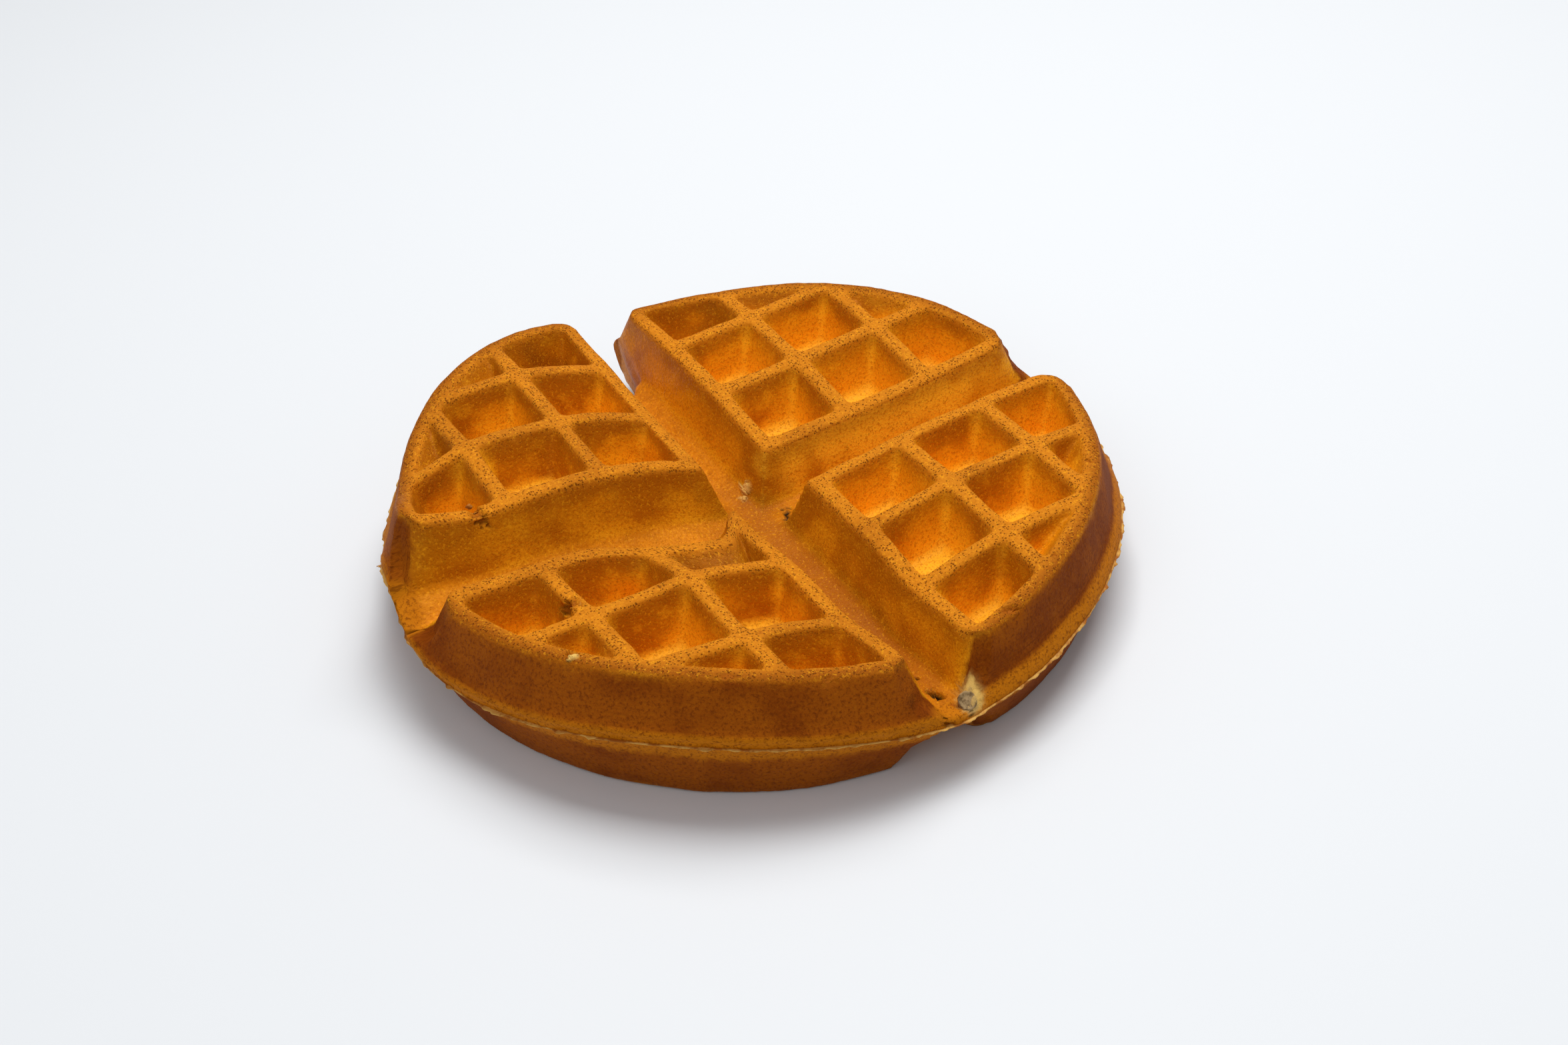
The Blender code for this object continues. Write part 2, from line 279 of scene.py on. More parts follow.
@dataclass(frozen=True)
class Sag:
    """The bend of the whole waffle, as heights of its parting plane in millimetres."""

    centre_height: float = 8.0
    span: float = 60.0
    softness: float = 0.2
    reach: float = 1.4
    blend_width: float = 6.0
    middle: tuple[float, float] = (0.75, 1.0)
    rise_x: float = 4.18
    rise_y: float = 4.86
    twist: float = -1.88
    tilt_y: float = 1.31
    dish: float = -1.97
    arches: tuple[Arch, ...] = (
        Arch(1, 1, -0.9, 1.2, 3.3, 0.8, 3.6),
        Arch(-1, 1, 2.1, -2.3, 2.1, -0.3, 0.7),
        Arch(-1, -1, -2.6, 8.8, 3.8, -1.4, 0.2),
        Arch(1, -1, -2.0, 1.4, 2.8, 1.1, 1.3),
    )
    swells: tuple[Swell, ...] = (
        Swell(57.0, 10.0, -2.0),
        Swell(33.5, -33.5, 2.0),
        Swell(33.5, -20.0, 1.2),
        Swell(10.0, -33.5, -1.6),
        Swell(57.0, -10.0, -1.6),
        Swell(-33.5, -57.0, 1.6),
        Swell(-14.0, -86.0, 12.0, 15.0),
    )

    def hump(self, reach: np.ndarray) -> np.ndarray:
        """A parabola that is 0 at the channel and again near the rim.

        Args:
            reach: distance from the channel as a share of the span.

        Returns:
            1 at the top of the parabola.
        """
        return 4 * reach * np.clip(self.reach - reach, 0, None) / self.reach**2

    def offsets(self, x: np.ndarray, y: np.ndarray) -> tuple[np.ndarray, np.ndarray, np.ndarray]:
        """Where a point of the parting plane goes.

        Args:
            x: mould coordinates, in millimetres.
            y: mould coordinates, in millimetres.

        Returns:
            Shifts along X and Y, and the rise above the height at the centre.
        """
        u, v = x / self.span, y / self.span
        along_x = np.hypot(u, self.softness) - self.softness
        along_y = np.hypot(v, self.softness) - self.softness
        rise = self.rise_x * along_x + self.rise_y * along_y + self.twist * u * v
        rise = rise + self.tilt_y * u * along_y + self.dish * along_x * along_y
        for swell in self.swells:
            rise = rise + swell.rise * bump(np.hypot(x - swell.x, y - swell.y), swell.width)
        shift_x, shift_y = np.zeros_like(x), np.zeros_like(x)
        for arch in self.arches:
            share = self._share(arch.side_x * x) * self._share(arch.side_y * y)
            a, b = np.abs(u), np.abs(v)
            hump_a, hump_b = self.hump(a), self.hump(b)
            arched = arch.along_x * hump_a + arch.along_y * hump_b + arch.crown * hump_a * hump_b
            rise = rise + share * arched
            shift_x += share * arch.side_x * arch.back_x * np.clip(1 - b, -0.4, 1)
            shift_y += share * arch.side_y * arch.back_y * np.clip(1 - a, -0.4, 1)
        return shift_x, shift_y, rise

    def _share(self, inside: np.ndarray) -> np.ndarray:
        """How much of a quarter's arch a point takes, from its distance inside the quarter."""
        return 0.5 + 0.5 * np.tanh(inside / self.blend_width)

    def place(self, points: np.ndarray, half_height: float) -> np.ndarray:
        """Bends points of the mould shape: full sag from the parting plane up, none at the underside.

        Args:
            points: mould coordinates, in millimetres.
            half_height: from the parting plane to the underside.

        Returns:
            The places in the part's frame, in millimetres.
        """
        x, y, z = points.T
        shift_x, shift_y, rise = self.offsets(x, y)
        seam = self.centre_height + rise
        share = np.clip((z + half_height) / half_height, 0, 1)
        height = np.where(z > 0, seam + z, seam * share)
        x = x + shift_x * share - self.middle[0]
        y = y + shift_y * share - self.middle[1]
        return np.column_stack((x, y, np.maximum(height, 0)))


def select_only(piece: bpy.types.Object) -> None:
    """Deselects everything, then selects one object and makes it active."""
    for other in bpy.data.objects:
        other.select_set(False)
    piece.select_set(True)
    bpy.context.view_layer.objects.active = piece


def edit(piece: bpy.types.Object) -> bmesh.types.BMesh:
    """Enters edit mode on one object with nothing selected.

    Args:
        piece: the object to edit.

    Returns:
        Its edit mesh.
    """
    select_only(piece)
    bpy.ops.object.mode_set(mode="EDIT")
    bpy.ops.mesh.select_all(action="DESELECT")
    return bmesh.from_edit_mesh(piece.data)


def close_edit() -> None:
    """Recalculates the normals of everything and leaves edit mode."""
    bpy.ops.mesh.select_all(action="SELECT")
    bpy.ops.mesh.normals_make_consistent(inside=False)
    bpy.ops.object.mode_set(mode="OBJECT")


def place(piece: bpy.types.Object, matrix: Matrix) -> None:
    """Moves a piece's mesh, and leaves its object at the origin.

    Args:
        piece: the object whose mesh moves.
        matrix: the move, turn or mirror.
    """
    piece.data.transform(matrix)
    if matrix.determinant() < 0:
        piece.data.flip_normals()


def copy_of(piece: bpy.types.Object, matrix: Matrix) -> bpy.types.Object:
    """Copies a piece with a mesh of its own.

    Args:
        piece: the object to copy.
        matrix: where the copy's mesh goes.

    Returns:
        The copy.
    """
    made = piece.copy()
    made.data = piece.data.copy()
    bpy.context.scene.collection.objects.link(made)
    place(made, matrix)
    return made


def join(pieces: list[bpy.types.Object], name: str) -> bpy.types.Object:
    """Joins several pieces into one object.

    Args:
        pieces: the objects, which become one.
        name: the name of the result.

    Returns:
        The joined object.
    """
    select_only(pieces[0])
    for piece in pieces:
        piece.select_set(True)
    bpy.ops.object.join()
    made = bpy.context.view_layer.objects.active
    made.name = name
    made.data.name = name
    return made


def combine(piece: bpy.types.Object, other: bpy.types.Object, operation: str) -> None:
    """Applies a Boolean and removes the other object.

    Args:
        piece: the object that is changed.
        other: the object that cuts it or joins it.
        operation: DIFFERENCE, UNION or INTERSECT.
    """
    select_only(piece)
    modifier = piece.modifiers.new("combine", "BOOLEAN")
    modifier.operation = operation
    modifier.object = other
    bpy.ops.object.modifier_apply(modifier=modifier.name)
    bpy.data.objects.remove(other, do_unlink=True)


def turned(outline: list[tuple[float, float]], segments: int, name: str) -> bpy.types.Object:
    """Draws a circle up through an outline of radius and height, in millimetres.

    Args:
        outline: radius and height of each ring, from the bottom face to the top face.
        segments: how many sides the circle has.
        name: the name of the result.

    Returns:
        The closed piece.
    """
    first, low = outline[0]
    bpy.ops.mesh.primitive_circle_add(
        vertices=segments, radius=first * MM, fill_type="NGON", location=(0, 0, low * MM)
    )
    made = bpy.context.object
    made.name = name
    bpy.ops.object.transform_apply(location=True)
    edit(made)
    bpy.ops.mesh.select_all(action="SELECT")
    for (radius, height), (wider, higher) in zip(outline, outline[1:]):
        lift = (0, 0, (higher - height) * MM)
        bpy.ops.mesh.extrude_region_move(TRANSFORM_OT_translate={"value": lift})
        share = wider / radius
        bpy.ops.transform.resize(value=(share, share, 1), center_override=(0, 0, higher * MM))
    close_edit()
    return made


def points_of(mesh: bpy.types.Mesh) -> np.ndarray:
    """The vertex positions of a mesh, in millimetres."""
    flat = np.empty(len(mesh.vertices) * 3, np.float32)
    mesh.vertices.foreach_get("co", flat)
    return flat.reshape(-1, 3).astype(np.float64) / MM


def set_points(mesh: bpy.types.Mesh, points: np.ndarray) -> None:
    """Moves the vertices of a mesh.

    Args:
        mesh: the mesh to change.
        points: its new positions, in millimetres.
    """
    mesh.vertices.foreach_set("co", (points * MM).astype(np.float32).ravel())
    mesh.update()


def add_mask(mesh: bpy.types.Mesh, name: str, values: np.ndarray) -> None:
    """Stores one number for each vertex.

    Args:
        mesh: the mesh that carries it.
        name: the name that a material reads it by.
        values: the numbers.
    """
    layer = mesh.attributes.new(name, "FLOAT", "POINT")
    layer.data.foreach_set("value", np.clip(values, 0, 1).astype(np.float32))


def roughness_of(points: np.ndarray, size: float, octaves: int, seed: float) -> np.ndarray:
    """Smooth noise at each point, about -0.5 to 0.5.

    Args:
        points: places, in millimetres.
        size: the size of the largest lumps, in millimetres.
        octaves: how many finer layers are added.
        seed: shifts the noise.

    Returns:
        The noise at each place.
    """
    shift = Vector((seed, -2.3 * seed, 1.7 * seed))
    options = {"noise_basis": "PERLIN_ORIGINAL"}
    return np.array([noise.fractal(Vector(p) / size + shift, 1.0, 2.0, octaves, **options) for p in points])


@dataclass
class WaffleCake:
    """The whole waffle: the mould shape, the sag and the marks that baking and handling left."""

    mould: Mould = field(default_factory=Mould)
    sag: Sag = field(default_factory=Sag)
    flaws: Flaws = field(default_factory=Flaws)
    segments: int = 180
    voxel: float = 0.7
    most_triangles: int = 160_000

    def build(self) -> bpy.types.Object:
        """Models the waffle.

        Returns:
            The finished piece.
        """
        cake = self._blank()
        for face in Face:
            combine(cake, self._pockets(face), "DIFFERENCE")
            for turn in (0.0, pi / 2):
                combine(cake, self._channel(face, turn), "DIFFERENCE")
        combine(cake, self._notch(), "DIFFERENCE")
        self._remesh(cake)
        self._bake_uneven(cake)
        self._thin_out(cake)
        self._press_flaws(cake)
        self._mark_zones(cake)
        self._shape_by_hand(cake)
        cake.data.shade_smooth()
        return cake

    def _blank(self) -> bpy.types.Object:
        """The uncut disc: a circle drawn up through the outline of the outer wall."""
        m = self.mould
        outline = [
            (m.rim_radius, -m.half_height),
            (m.rim_radius + 1.0, -m.half_height + 0.6),
            (m.lower_wall_radius, -m.flash_half_thickness - 1.6),
            (m.seam_radius - 0.8, -m.flash_half_thickness - 0.2),
            (m.seam_radius - 0.4, m.flash_half_thickness),
            (m.wall_foot_radius + 1.3, m.flange_top - 0.4),
            (m.wall_foot_radius + 0.2, m.flange_top + 0.6),
            (m.wall_foot_radius - 0.2, m.flange_top + 1.6),
            (m.rim_radius + 1.0, m.half_height - 0.6),
            (m.rim_radius, m.half_height),
        ]
        return turned(outline, self.segments, "waffle_cake")

    def _tapered_block(
        self, half_x: float, half_y: float, floor: float, taper_x: bool = True
    ) -> bpy.types.Object:
        """A block that widens upward from the floor, standing out above the rib tops.

        Args:
            half_x: half its size along X at the rib tops.
            half_y: half its size along Y at the rib tops.
            floor: the height of its floor.
            taper_x: whether its X size narrows towards the floor too.

        Returns:
            The block, centred on the origin, for the top face.
        """
        m = self.mould
        depth, beyond = m.half_height - floor, 4.0
        narrowing = depth * tan(m.draft)
        floor_y = half_y - narrowing
        floor_x = half_x - narrowing if taper_x else half_x
        bpy.ops.mesh.primitive_plane_add(size=2 * MM, location=(0, 0, floor * MM))
        block = bpy.context.object
        bpy.ops.object.transform_apply(location=True)
        edit(block)
        bpy.ops.mesh.select_all(action="SELECT")
        bpy.ops.transform.resize(value=(floor_x, floor_y, 1))
        grow = 1 + beyond / depth
        top_x = floor_x + (half_x - floor_x) * grow
        top_y = floor_y + (half_y - floor_y) * grow
        rise = (0, 0, (depth + beyond) * MM)
        bpy.ops.mesh.extrude_region_move(TRANSFORM_OT_translate={"value": rise})
        bpy.ops.transform.resize(value=(top_x / floor_x, top_y / floor_y, 1))
        if taper_x:
            self._round_edges(block, floor, upright=True, width=m.corner_radius)
        self._round_edges(block, floor, upright=False, width=m.floor_radius)
        close_edit()
        return block

    def _round_edges(self, block: bpy.types.Object, floor: float, upright: bool, width: float) -> None:
        """Bevels the corner edges of a block in edit mode, or the edges round its floor.

        Args:
            block: the block, in edit mode.
            floor: the height of its floor.
            upright: whether the corner edges are meant.
            width: the bevel's width, in millimetres.
        """
        bpy.ops.mesh.select_mode(type="EDGE")
        bpy.ops.mesh.select_all(action="DESELECT")
        sheet = bmesh.from_edit_mesh(block.data)
        low = (floor + 0.01) * MM
        for edge in sheet.edges:
            ends = [v.co.z < low for v in edge.verts]
            edge.select = ends[0] != ends[1] if upright else all(ends)
        sheet.select_flush_mode()
        bmesh.update_edit_mesh(block.data)
        bpy.ops.mesh.bevel(offset=width * MM, segments=4, affect="EDGES", clamp_overlap=True)

    def _pockets(self, face: Face) -> bpy.types.Object:
        """The cutter for every pocket of one face.

        Args:
            face: the side of the parting plane.

        Returns:
            One object of separate blocks, cut off where the rim begins.
        """
        m = self.mould
        deep = [(c, r) for c in range(3) for r in range(3) if c + r < 3]
        groups = (
            (deep, m.web_half_thickness, m.draft),
            ([(1, 2), (2, 1)], m.dish_floor, m.dish_slope),
        )
        made = []
        for cells, floor, slope in groups:
            copies = [block for cell in cells for block in self._cell_blocks(cell, floor)]
            cutter = join(copies, "pocket_cutter")
            combine(cutter, self._rim_plug(floor, slope), "INTERSECT")
            made.append(cutter)
        cutter = join(made, "pocket_cutter")
        place(cutter, Matrix.Scale(face.value, 4, (0, 0, 1)))
        return cutter

    def _cell_blocks(self, cell: tuple[int, int], floor: float) -> list[bpy.types.Object]:
        """The four cutters of one pocket, one in each quarter.

        Args:
            cell: the pocket's place, counted from the centre along X and Y.
            floor: the height of its floor.

        Returns:
            The cutters, not yet cut off at the rim.
        """
        (centre_x, half_x), (centre_y, half_y) = self.mould.cell(cell[0]), self.mould.cell(cell[1])
        block = self._tapered_block(half_x, half_y, floor)
        copies = []
        for side_x in (1, -1):
            for side_y in (1, -1):
                spot = Vector((side_x * centre_x, side_y * centre_y, 0)) * MM
                copies.append(copy_of(block, Matrix.Translation(spot)))
        bpy.data.objects.remove(block, do_unlink=True)
        return copies

    def _rim_plug(self, floor: float, slope: float) -> bpy.types.Object:
        """The cone that bounds pockets on their round side.

        Args:
            floor: the height of the pocket floors.
            slope: the angle between the round wall and the vertical.

        Returns:
            The cone, for the top face.
        """
        m = self.mould
        below, beyond = 0.5, 4.0
        lean = tan(slope)
        height = m.half_height - floor + below + beyond
        bpy.ops.mesh.primitive_cone_add(
            vertices=self.segments,
            radius1=(m.pocket_rim - (m.half_height - floor + below) * lean) * MM,
            radius2=(m.pocket_rim + beyond * lean) * MM,
            depth=height * MM,
            location=(0, 0, (floor - below + height / 2) * MM),
        )
        plug = bpy.context.object
        bpy.ops.object.transform_apply(location=True)
        return plug

    def _channel(self, face: Face, turn: float) -> bpy.types.Object:
        """The cutter for one arm of the cross-shaped channel.

        Args:
            face: the side of the parting plane.
            turn: the angle between the arm and the X axis.

        Returns:
            The cutter.
        """
        m = self.mould
        floor = m.web_half_thickness + 0.02 * turn
        arm = self._tapered_block(m.seam_radius + 6, m.channel_half, floor, taper_x=False)
        place(arm, Matrix.Scale(face.value, 4, (0, 0, 1)) @ Matrix.Rotation(turn, 4, "Z"))
        return arm

    def _notch(self) -> bpy.types.Object:
        """The cutter for the piece of web and flange that is missing at the -X end."""
        half_inner, half_outer, inner_x, outer_x = 3.6, 8.0, -65.0, -95.0
        bpy.ops.mesh.primitive_plane_add(size=2 * MM, location=(0, 0, 0))
        notch = bpy.context.object
        edit(notch)
        bpy.ops.mesh.select_all(action="SELECT")
        bpy.ops.transform.resize(value=((inner_x - outer_x) / 2, half_inner, 1))
        bpy.ops.transform.translate(value=((inner_x + outer_x) / 2 * MM, 0, -8 * MM))
        bpy.ops.mesh.extrude_region_move(TRANSFORM_OT_translate={"value": (0, 0, 16 * MM)})
        bpy.ops.mesh.select_all(action="SELECT")
        bpy.ops.mesh.subdivide(number_cuts=6)
        bpy.ops.object.mode_set(mode="OBJECT")
        spots = points_of(notch.data)
        share = np.clip((inner_x - spots[:, 0]) / (inner_x - outer_x), 0, 1)
        ragged = 1.2 * np.sin(1.9 * spots[:, 0] + 0.7 * spots[:, 2]) * np.clip(1 - share, 0, 1)
        spots[:, 1] *= 1 + (half_outer / half_inner - 1) * share
        spots[:, 1] += 0.5 * ragged
        spots[:, 0] += np.where(share < 0.05, 1.5 * np.cos(1.4 * spots[:, 1]), 0)
        set_points(notch.data, spots)
        edit(notch)
        close_edit()
        return notch

    def _remesh(self, cake: bpy.types.Object) -> None:
        """Turns the sharp mould shape into one even skin with soft edges."""
        select_only(cake)
        remesh = cake.modifiers.new("skin", "REMESH")
        remesh.mode = "VOXEL"
        remesh.voxel_size = self.voxel * MM
        bpy.ops.object.modifier_apply(modifier=remesh.name)
        soften = cake.modifiers.new("soften", "SMOOTH")
        soften.factor = 0.5
        soften.iterations = 3
        bpy.ops.object.modifier_apply(modifier=soften.name)

    def _bake_uneven(self, cake: bpy.types.Object) -> None:
        """Gives the baked skin its low lumps, by displacement along its normals."""
        select_only(cake)
        for name, size, strength, depth in (("swell", 14.0, 0.7, 1), ("crumb", 2.4, 0.22, 2)):
            texture = bpy.data.textures.new(name, "CLOUDS")
            texture.noise_scale = size * MM
            texture.noise_depth = depth
            modifier = cake.modifiers.new(name, "DISPLACE")
            modifier.texture = texture
            modifier.texture_coords = "LOCAL"
            modifier.mid_level = 0.5
            modifier.strength = strength * MM
            bpy.ops.object.modifier_apply(modifier=modifier.name)

    def _thin_out(self, cake: bpy.types.Object) -> None:
        """Takes triangles out of the flat parts."""
        count = 2 * len(cake.data.polygons)
        LOG.info("skin has %d triangles before thinning", count)
        if count <= self.most_triangles:
            return
        select_only(cake)
        modifier = cake.modifiers.new("thin", "DECIMATE")
        modifier.ratio = self.most_triangles / count
        bpy.ops.object.modifier_apply(modifier=modifier.name)

    def _press_flaws(self, cake: bpy.types.Object) -> None:
        """Divides the skin more finely round each flaw, then presses the flaws in or out."""
        sheet = edit(cake)
        centres = np.array([face.calc_center_median() for face in sheet.faces]) / MM
        near = np.zeros(len(centres), bool)
        for mark in self.flaws.all_marks():
            reach = mark.half_length + 0.9
            near |= np.linalg.norm(centres - (mark.x, mark.y, mark.z), axis=1) < reach
        for face, chosen in zip(sheet.faces, near):
            face.select = bool(chosen)
        bmesh.update_edit_mesh(cake.data)
        bpy.ops.mesh.subdivide(number_cuts=2)
        bpy.ops.object.mode_set(mode="OBJECT")
        spots = points_of(cake.data)
        normals = np.array([vertex.normal for vertex in cake.data.vertices])
        sunk = np.zeros(len(spots))
        for name, marks in self.flaws.groups().items():
            mask = np.zeros(len(spots))
            for mark in marks:
                away = mark.distance(spots)
                close = away < 3.0
                uneven = away[close] + mark.ragged * roughness_of(spots[close], 1.1, 3, 3.1)
                share = smooth_step(-1.0 - mark.soft, -1.0 + mark.soft, -uneven)
                mask[close] = np.maximum(mask[close], share)
                sunk[close] += mark.sunk * share
            add_mask(cake.data, name, mask)
        set_points(cake.data, spots - normals * sunk[:, None])

    def _mark_zones(self, cake: bpy.types.Object) -> None:
        """Stores where the rib tops, floors, channels and outer wall are, for the crust's colours."""
        m = self.mould
        mesh = cake.data
        spots = points_of(mesh)
        x, y, z = spots.T
        radius = np.hypot(x, y)
        angle = np.degrees(np.arctan2(y, x))
        height = np.abs(z)
        near = np.minimum(np.abs(x), np.abs(y))
        in_channel = smooth_step(-m.channel_half - 0.4, -m.channel_half + 0.4, -near)
        outside = smooth_step(m.rim_radius + 0.2, m.rim_radius + 1.4, radius)
        low = smooth_step(-m.web_half_thickness - 2.2, -m.web_half_thickness - 0.5, -height)
        add_mask(mesh, "top", smooth_step(m.half_height - 1.5, m.half_height - 0.6, height) * (1 - outside))
        add_mask(mesh, "rim", smooth_step(m.pocket_rim - 1.0, m.rim_radius + 0.5, radius))
        add_mask(mesh, "gully", in_channel * (1 - outside))
        add_mask(mesh, "floor", low * (1 - in_channel) * (1 - outside))
        add_mask(mesh, "channel", low * in_channel * smooth_step(-4.6, -3.2, -near))
        add_mask(mesh, "depth", (m.half_height - height) / m.depth)
        add_mask(mesh, "corner", self._pocket_corners(x, y, height) * (1 - in_channel) * (1 - outside))
        add_mask(mesh, "outer", outside)
        add_mask(mesh, "flange", outside * smooth_step(-m.flange_top - 0.6, -m.flange_top + 0.2, -height))
        add_mask(mesh, "creases", outside * smooth_step(-12, 2, angle) * smooth_step(-75, -50, -angle))
        add_mask(mesh, "striae", outside * smooth_step(-150, -80, angle) * smooth_step(-10, 45, -angle))
        add_mask(mesh, "pale_and_lit_place", self._soft_places(spots, self.flaws.pale_and_lit_places))
        add_mask(mesh, "brown_and_shaded_place", self._soft_places(spots, self.flaws.brown_and_shaded_places))
        # Raises the large mottle towards -Y and lowers it towards +Y: walls and rib tops darker at -Y, the
        # outer wall lighter.
        mottle_shift_y = -0.11 * np.tanh(y / 20)
        add_mask(mesh, "large", 0.5 + mottle_shift_y + 0.38 * roughness_of(spots, 15.0, 3, 5.7))
        add_mask(mesh, "medium", 0.5 + 0.42 * roughness_of(spots, 4.0, 3, 9.1))
        layer = mesh.attributes.new("mould", "FLOAT_VECTOR", "POINT")
        layer.data.foreach_set("vector", (spots * MM).astype(np.float32).ravel())

    def _soft_places(self, spots: np.ndarray, marks: tuple[Mark, ...]) -> np.ndarray:
        """How far points are inside large soft places, from 0 to 1."""
        uneven = roughness_of(spots, 6.0, 2, 7.3)
        share = np.zeros(len(spots))
        for mark in marks:
            away = mark.distance(spots, 9.0) + mark.ragged * uneven
            share = np.maximum(share, smooth_step(-1.0 - mark.soft, -1.0 + mark.soft, -away))
        return share

    def _pocket_corners(self, x: np.ndarray, y: np.ndarray, height: np.ndarray) -> np.ndarray:
        """How close a point is to the upright corner of its pocket, from 0 in the middle of a wall to 1."""
        m = self.mould
        ribs = np.array(m.ribs)
        share = []
        for along in (np.abs(x), np.abs(y)):
            index = np.clip(np.searchsorted(ribs, along) - 1, 0, len(ribs) - 2)
            middle = (ribs[index] + ribs[index + 1]) / 2
            half = (ribs[index + 1] - ribs[index]) / 2 - m.rib_half_width
            half = half - (m.half_height - height) * tan(m.draft)
            share.append(np.abs(along - middle) / half)
        return smooth_step(0.6, 0.95, np.minimum(share[0], share[1]))

    def _shape_by_hand(self, cake: bpy.types.Object) -> None:
        """Moves points for everything that no mould made: flange, soft corners, folded wall and sag."""
        m = self.mould
        spots = points_of(cake.data)
        spots = self._uneven_flange(spots)
        spots = self._round_outer_corners(spots)
        x, y, z = spots.T
        spots = np.column_stack((x + self._fold(x, y, z), y, z))
        set_points(cake.data, self.sag.place(spots, m.half_height))

    def _uneven_flange(self, spots: np.ndarray) -> np.ndarray:
        """Moves the foot of the outer wall outward where the flange is narrow."""
        m = self.mould
        x, y, z = spots.T
        radius = np.hypot(x, y)
        angle = np.degrees(np.arctan2(y, x))
        narrow = smooth_step(-120, -80, angle) * smooth_step(-2, 14, -angle)
        upward = np.clip((m.half_height - z) / (m.half_height - m.flange_top), 0, 1)
        upward = upward * smooth_step(m.flash_half_thickness, m.flange_top, z)
        outer = smooth_step(m.rim_radius - 1.0, m.rim_radius + 0.5, radius)
        grow = 1 + outer * upward * (2.5 * narrow + 0.4) / np.maximum(radius, 1)
        return np.column_stack((x * grow, y * grow, z))

    def _round_outer_corners(self, spots: np.ndarray) -> np.ndarray:
        """Rounds each quarter's upright edges, where the channel runs out through the outer wall."""
        m = self.mould
        x, y, z = (column.copy() for column in spots.T)
        height = np.abs(z)
        wall = m.rim_radius + (m.half_height - height) * (m.wall_foot_radius - m.rim_radius) / (
            m.half_height - m.flange_top
        )
        edge = m.channel_half - (m.half_height - height) * tan(m.draft)
        usual, wide = 5.0, 7.5
        widest = np.where((x > 0) & (y > 60), wide, usual)
        corner = widest * smooth_step(m.flange_top - 1.0, m.flange_top + 3.0, height) + 0.01
        for along, across in ((x, y), (y, x)):
            radius = np.hypot(along, across)
            inward = wall - radius
            aside = np.abs(across) - edge
            over = np.hypot(corner - inward, corner - aside)
            chosen = (inward < corner) & (aside < corner) & (over > corner)
            chosen &= (aside > -0.6) & (np.abs(along) > 60)
            pull = np.where(chosen, 1 - corner / np.maximum(over, 1e-6), 0)
            new_inward = inward + (corner - inward) * pull
            new_aside = aside + (corner - aside) * pull
            moved = np.sign(across) * (edge + new_aside)
            reach = np.sqrt(np.maximum((wall - new_inward) ** 2 - moved**2, 0)) * np.sign(along)
            along[chosen] = reach[chosen]
            across[chosen] = moved[chosen]
        return np.column_stack((x, y, z))

    def _fold(self, x: np.ndarray, y: np.ndarray, z: np.ndarray) -> np.ndarray:
        """How far the soft wall beside the Y channel has moved into its pocket, along +X."""
        m = self.mould
        push, belly, overhang = 9.5, 1.3, 3.9
        across = smooth_step(3.0, 8.0, x) * smooth_step(-30.0, -13.5, -x)
        along = smooth_step(-46.0, -18.0, y) * smooth_step(9.0, 16.5, -y)
        upward = smooth_step(m.web_half_thickness, m.half_height - 6.0, z)
        lip = overhang * smooth_step(10.2, 13.5, x) * bump(z - 9.5, 4.5)
        return (push * upward + belly * bump(z - 8.5, 3.5) + lip) * across * along


@dataclass
class FlashFringe:
    """The thin pale fringe of batter that was pressed out between the mould's halves."""

    mould: Mould = field(default_factory=Mould)
    sag: Sag = field(default_factory=Sag)
    inner: float = 87.4
    outer: float = 88.7
    thickness: float = 0.3
    mean_ragged: float = 0.15
    ragged_swing: float = 0.9
    most_ragged: float = 0.7
    steps: int = 900
    open_angle: float = radians(6.0)

    def build(self) -> bpy.types.Object:
        """Models the fringe: a long strip bent to a ring that is open at the missing piece.

        Returns:
            The fringe.
        """
        bpy.ops.mesh.primitive_grid_add(x_subdivisions=self.steps, y_subdivisions=4, size=2)
        fringe = bpy.context.object
        fringe.name = "flash_fringe"
        select_only(fringe)
        skin = fringe.modifiers.new("thickness", "SOLIDIFY")
        skin.thickness = self.thickness * MM
        skin.offset = 0
        bpy.ops.object.modifier_apply(modifier=skin.name)
        spots = points_of(fringe.data) * MM
        angle = spots[:, 0] * (pi - self.open_angle)
        share = (spots[:, 1] + 1) / 2
        around = np.column_stack((np.cos(angle), np.sin(angle), np.zeros_like(angle))) * self.outer
        swing = self.ragged_swing * roughness_of(around, 3.0, 4, 4.4)
        ragged = np.clip(self.mean_ragged + swing, 0, self.most_ragged)
        radius = self.inner + share * (self.outer + ragged - self.inner)
        height = spots[:, 2] / MM * (1 - 0.5 * share) + 0.12 * share * roughness_of(around, 2.0, 2, 8.8)
        flat = np.column_stack((radius * np.cos(angle), radius * np.sin(angle), height))
        set_points(fringe.data, self.sag.place(flat, self.mould.half_height))
        fringe.data.shade_smooth()
        return fringe


